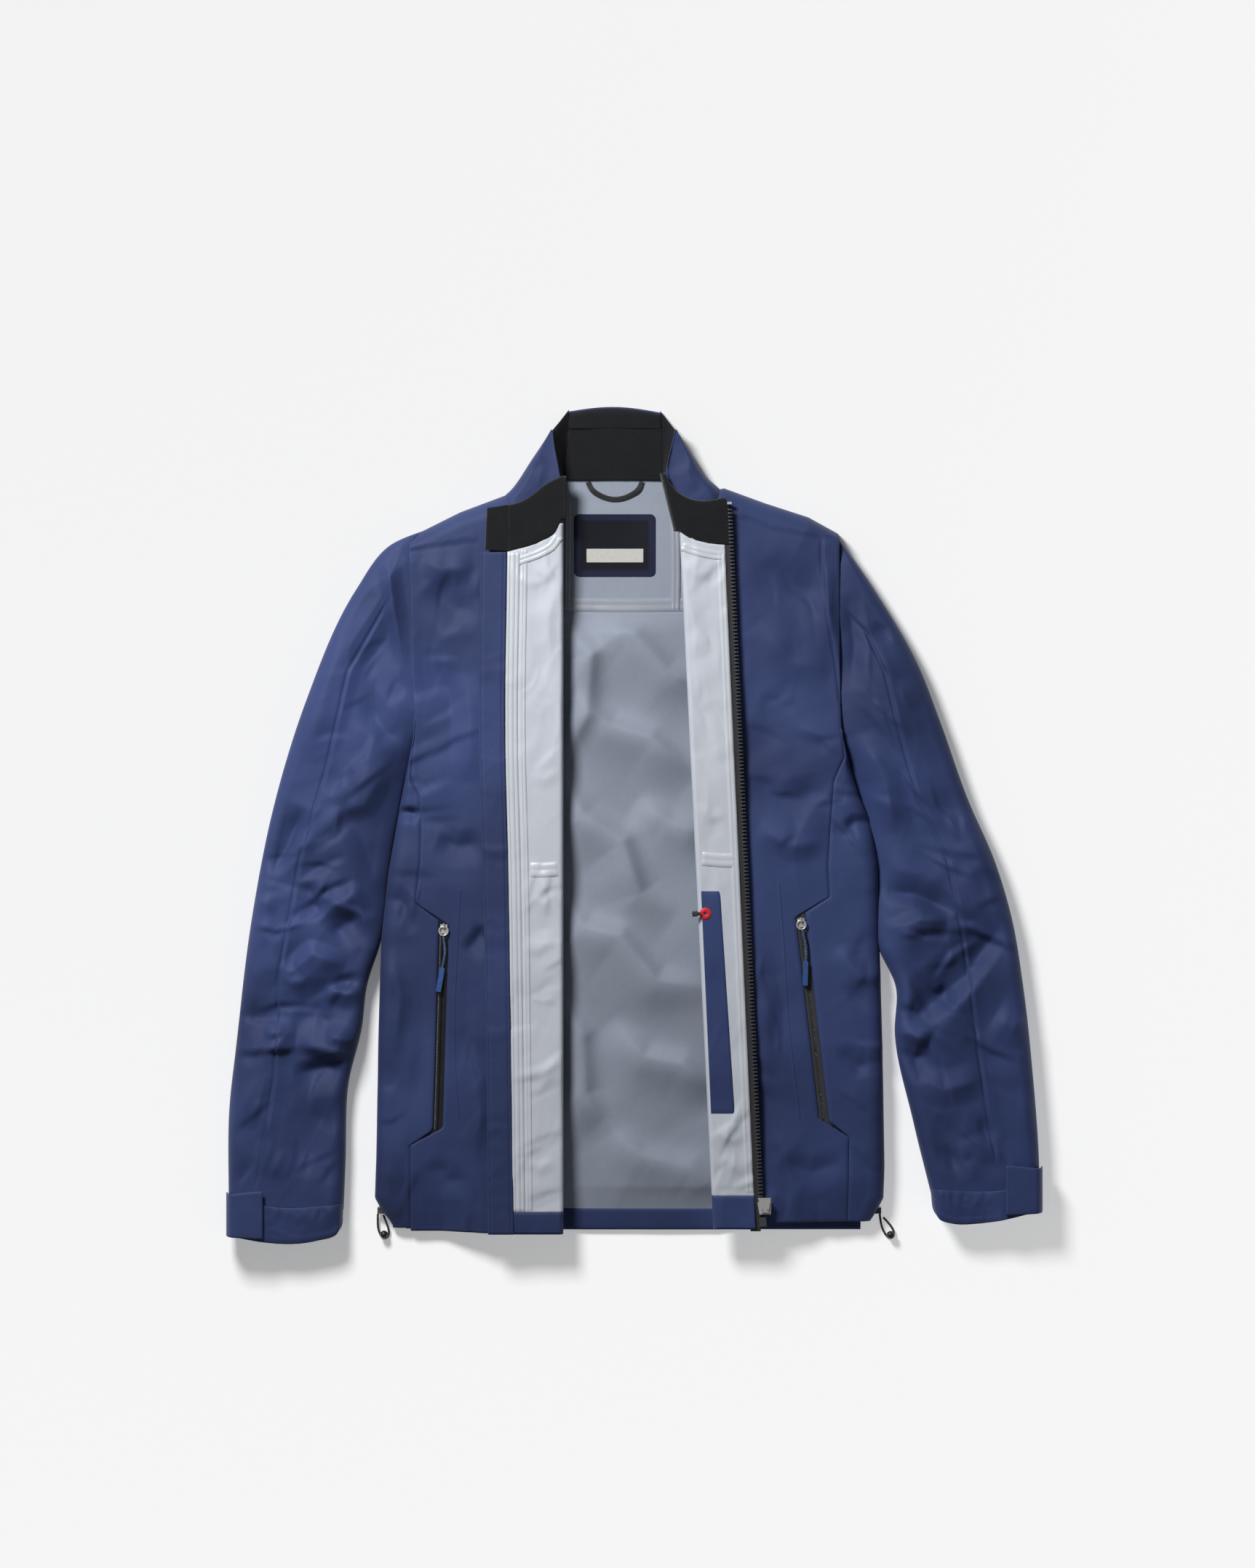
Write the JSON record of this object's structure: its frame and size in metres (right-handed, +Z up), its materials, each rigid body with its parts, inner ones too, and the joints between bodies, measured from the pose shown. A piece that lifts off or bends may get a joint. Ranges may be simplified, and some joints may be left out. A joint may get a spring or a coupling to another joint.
{
  "type": "foul weather jacket",
  "caption": "Zip-front sailing jacket lying on its back with both fronts folded open, stand collar, zipped hand pockets, cuff tabs and hem pulls.",
  "frame": {"origin": "on the face the jacket lies on, below the middle of the inside back", "axes": "+Z up out of the back towards the fronts, +Y from the hem to the collar, +X towards the wearer's left"},
  "size_m": [0.8074, 0.8288, 0.0428],
  "materials": {
    "shell": "woven nylon",
    "lining": "printed membrane lining",
    "fleece": "brushed fleece",
    "black_cloth": "plain woven",
    "label_cloth": "satin print",
    "zip_tape": "woven tape",
    "zip_plastic": "moulded",
    "coil_zip": "laminated, glossy",
    "metal": "bright plated",
    "black_plastic": "moulded",
    "blue_plastic": "moulded",
    "blue_cord": "braided, flecked",
    "black_cord": "braided, flecked",
    "red_thread": "stitched"
  },
  "bodies": {
    "jacket": {"back_panel": "shell", "back_yoke": "shell", "back_hem_facing": "shell", "right_front_panel": "shell", "left_front_panel": "shell", "right_side_panel": "shell", "left_side_panel": "shell", "right_sleeve_under": "shell", "left_sleeve_under": "shell", "right_sleeve_upper": "shell", "left_sleeve_upper": "shell", "right_cuff": "shell", "left_cuff": "shell", "cuff_patches": "black_cloth", "collar_outer_back": "shell", "collar_fleece_back": "fleece", "collar_top_band": "black_cloth", "right_collar_side": "shell", "left_collar_side": "shell", "name_label": "label_cloth", "right_pocket_zip": "coil_zip", "left_pocket_zip": "coil_zip", "right_pocket_bag": "lining", "left_pocket_bag": "lining", "hem_cord_guides": "black_plastic"},
    "right_lapel": {"right_facing": "lining", "right_facing_hem": "shell", "storm_flap": "shell", "right_collar_end": "fleece", "right_collar_flap": "fleece", "right_zip_tape": "zip_tape", "right_zip_teeth": "zip_plastic", "zip_insertion_pin": "zip_plastic"},
    "left_lapel": {"left_facing": "lining", "left_facing_hem": "shell", "left_collar_end": "fleece", "left_zip_tape": "zip_tape", "left_zip_teeth": "zip_plastic", "zip_top_stop": "metal", "zip_retainer_box": "black_plastic", "inner_pocket": "shell", "pocket_eyelet": "red_thread"},
    "pocket_toggle": {"pocket_toggle": "black_cord"},
    "zip_slider": {"zip_slider": "metal"},
    "zip_puller": {"zip_puller": "metal"},
    "right_pocket_slider": {"right_pocket_slider": "metal"},
    "left_pocket_slider": {"left_pocket_slider": "metal"},
    "right_pocket_pull": {"right_pull_ring": "metal", "right_pull_cord": "blue_cord", "right_pull_grip": "blue_plastic"},
    "left_pocket_pull": {"left_pull_ring": "metal", "left_pull_cord": "blue_cord", "left_pull_grip": "blue_plastic"},
    "right_cuff_tab": {"right_cuff_tab": "shell"},
    "left_cuff_tab": {"left_cuff_tab": "shell"},
    "right_hem_pull": {"right_hem_loop": "black_cord", "right_hem_ball": "black_plastic"},
    "left_hem_pull": {"left_hem_loop": "black_cord", "left_hem_ball": "black_plastic"},
    "locker_loop": {"locker_loop": "black_cloth"}
  },
  "joints": [
    {"name": "right_front_fold", "type": "hinge", "parent": "jacket", "child": "right_lapel", "pos_m": [-0.068, 0, 0.031], "axis": [0, 1, 0], "range_deg": [0, 178]},
    {"name": "left_front_fold", "type": "hinge", "parent": "jacket", "child": "left_lapel", "pos_m": [0.06645, 0, 0.031], "axis": [0.0483, -0.9988, 0], "range_deg": [0, 160]},
    {"name": "main_zip", "type": "slide", "parent": "left_lapel", "child": "zip_slider", "axis": [-0.045, 0.999, 0], "range_m": [0, 0.68]},
    {"name": "zip_puller_swing", "type": "hinge", "parent": "zip_slider", "child": "zip_puller", "pos_m": [0.13337, -0.381, 0.04], "axis": [0.999, 0.045, 0], "range_deg": [0, 160]},
    {"name": "drawcord_pull", "type": "slide", "parent": "left_lapel", "child": "pocket_toggle", "axis": [-1, 0, 0], "range_m": [0, 0.04]},
    {"name": "right_pocket_zip_travel", "type": "slide", "parent": "jacket", "child": "right_pocket_slider", "axis": [-0.0295, -0.9996, 0], "range_m": [0, 0.19]},
    {"name": "left_pocket_zip_travel", "type": "slide", "parent": "jacket", "child": "left_pocket_slider", "axis": [0.1154, -0.9933, 0], "range_m": [0, 0.185]},
    {"name": "right_pocket_pull_swing", "type": "hinge", "parent": "right_pocket_slider", "child": "right_pocket_pull", "pos_m": [-0.18306, -0.10095, 0.03085], "axis": [-0.9996, 0.0295, 0], "range_deg": [0, 150]},
    {"name": "left_pocket_pull_swing", "type": "hinge", "parent": "left_pocket_slider", "child": "left_pocket_pull", "pos_m": [0.16923, -0.09494, 0.03085], "axis": [-0.9933, -0.1154, 0], "range_deg": [0, 150]},
    {"name": "right_cuff_tab_peel", "type": "hinge", "parent": "jacket", "child": "right_cuff_tab", "pos_m": [-0.3607, -0.39, 0.0407], "axis": [0, 1, 0], "range_deg": [0, 150]},
    {"name": "left_cuff_tab_peel", "type": "hinge", "parent": "jacket", "child": "left_cuff_tab", "pos_m": [0.3707, -0.375, 0.0407], "axis": [0, -1, 0], "range_deg": [0, 150]},
    {"name": "right_hem_pull_swing", "type": "hinge", "parent": "jacket", "child": "right_hem_pull", "pos_m": [-0.246, -0.388, 0.0038], "axis": [-1, 0, 0], "range_deg": [0, 45]},
    {"name": "left_hem_pull_swing", "type": "hinge", "parent": "jacket", "child": "left_hem_pull", "pos_m": [0.251, -0.388, 0.0038], "axis": [-1, 0, 0], "range_deg": [0, 45]},
    {"name": "locker_loop_lift", "type": "hinge", "parent": "jacket", "child": "locker_loop", "pos_m": [-0.014, 0.341, 0.0034], "axis": [-1, 0, 0], "range_deg": [0, 90]}
  ]
}
